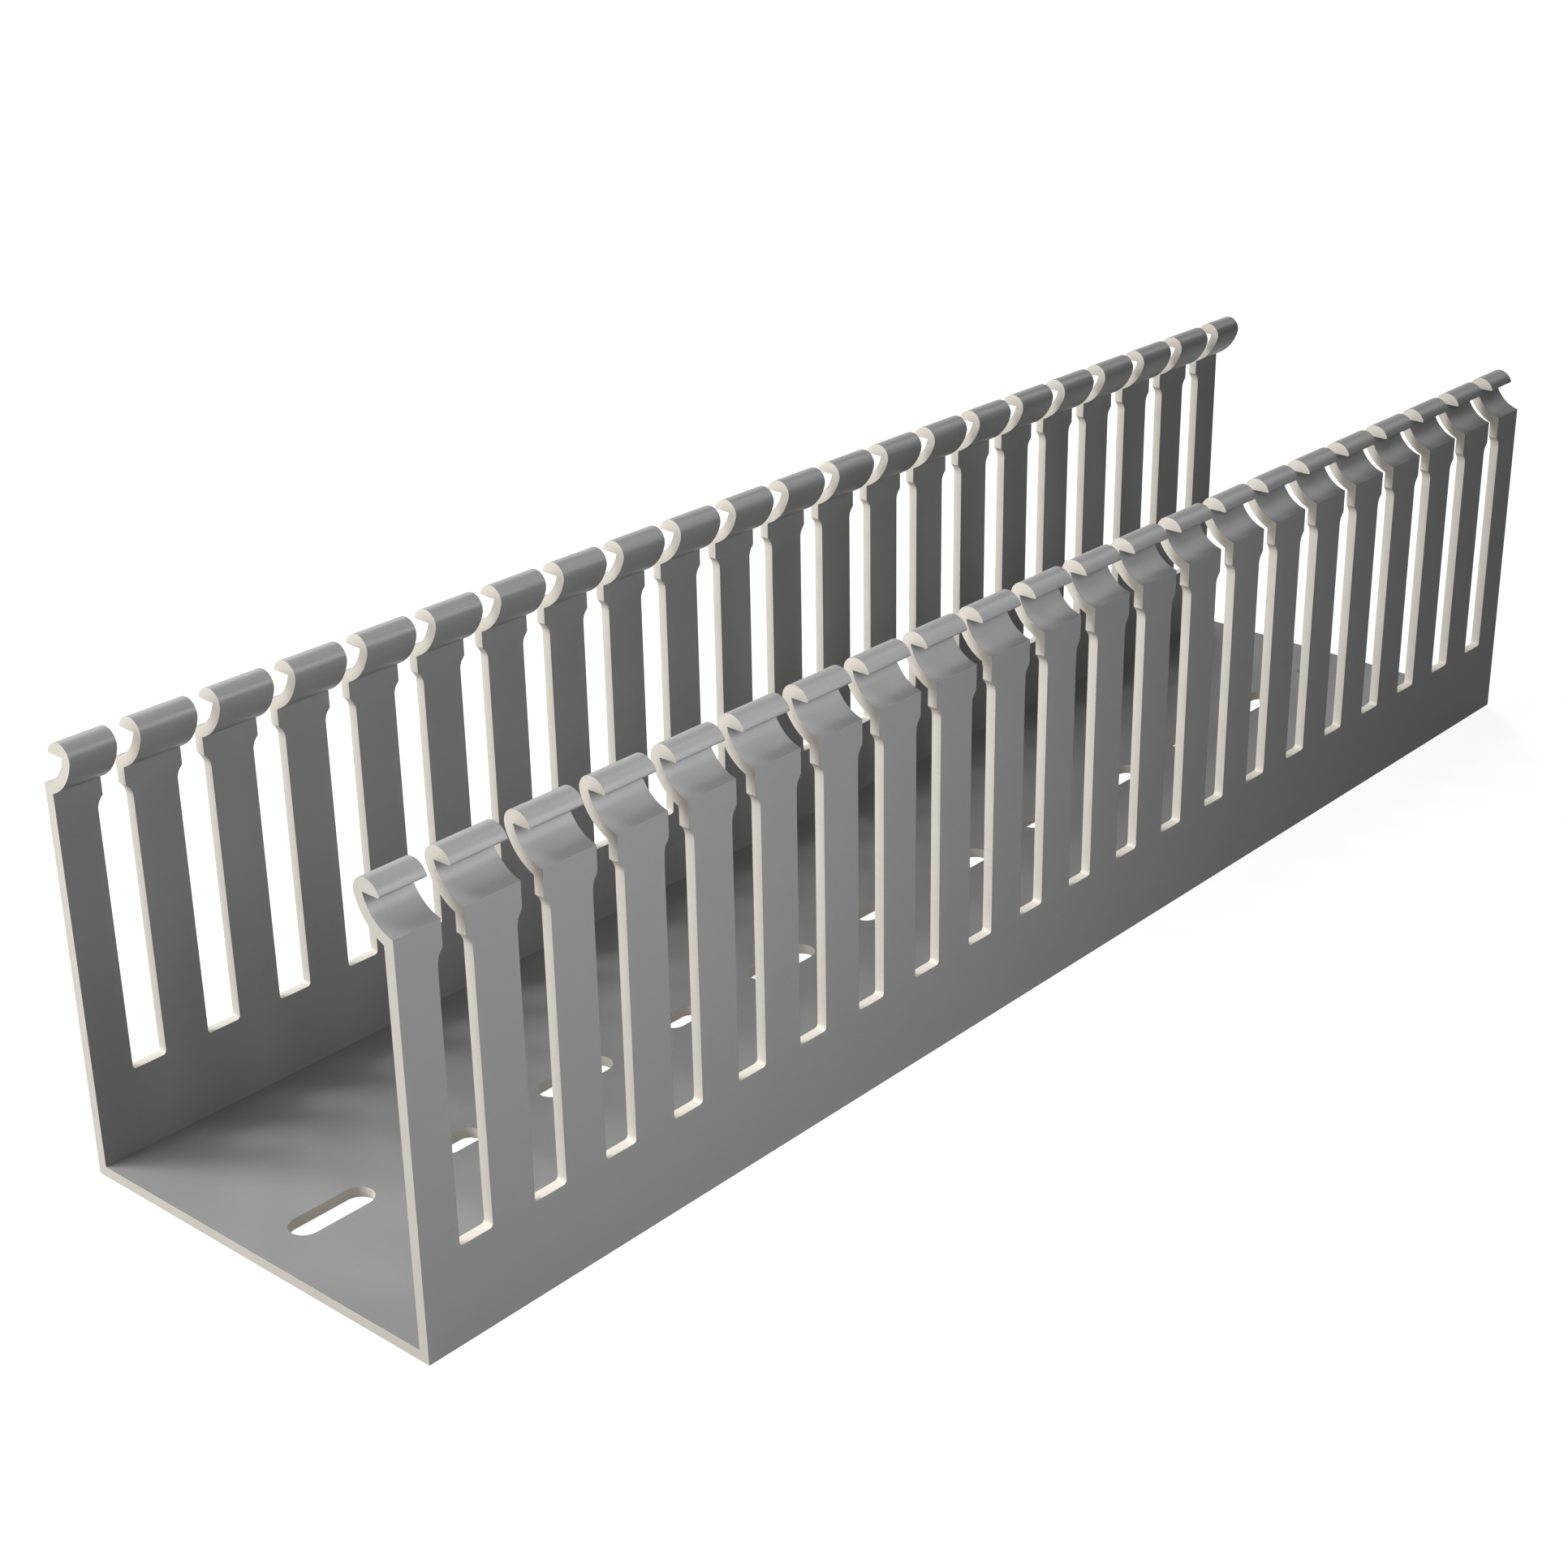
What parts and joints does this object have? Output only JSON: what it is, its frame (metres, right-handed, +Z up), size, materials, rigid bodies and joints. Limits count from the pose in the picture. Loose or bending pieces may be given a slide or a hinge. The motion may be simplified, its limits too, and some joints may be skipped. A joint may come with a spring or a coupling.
{
  "type": "slotted wire duct",
  "caption": "Open U-shaped rigid plastic channel with combed side walls whose fingers end in curled snap lips for a cover, and mounting slots along its floor; it routes cabinet wiring.",
  "frame": {"origin": "middle of the underside", "axes": "+X along the duct from the near end to the far end, +Y across it to the far wall, +Z up out of its open top"},
  "size_m": [0.3, 0.075, 0.0731],
  "materials": {
    "grey_pvc": "smooth satin-matte extruded rigid PVC, paler on its sawn and punched faces"
  },
  "bodies": {
    "root": {"wire_duct": "grey_pvc"}
  },
  "joints": []
}
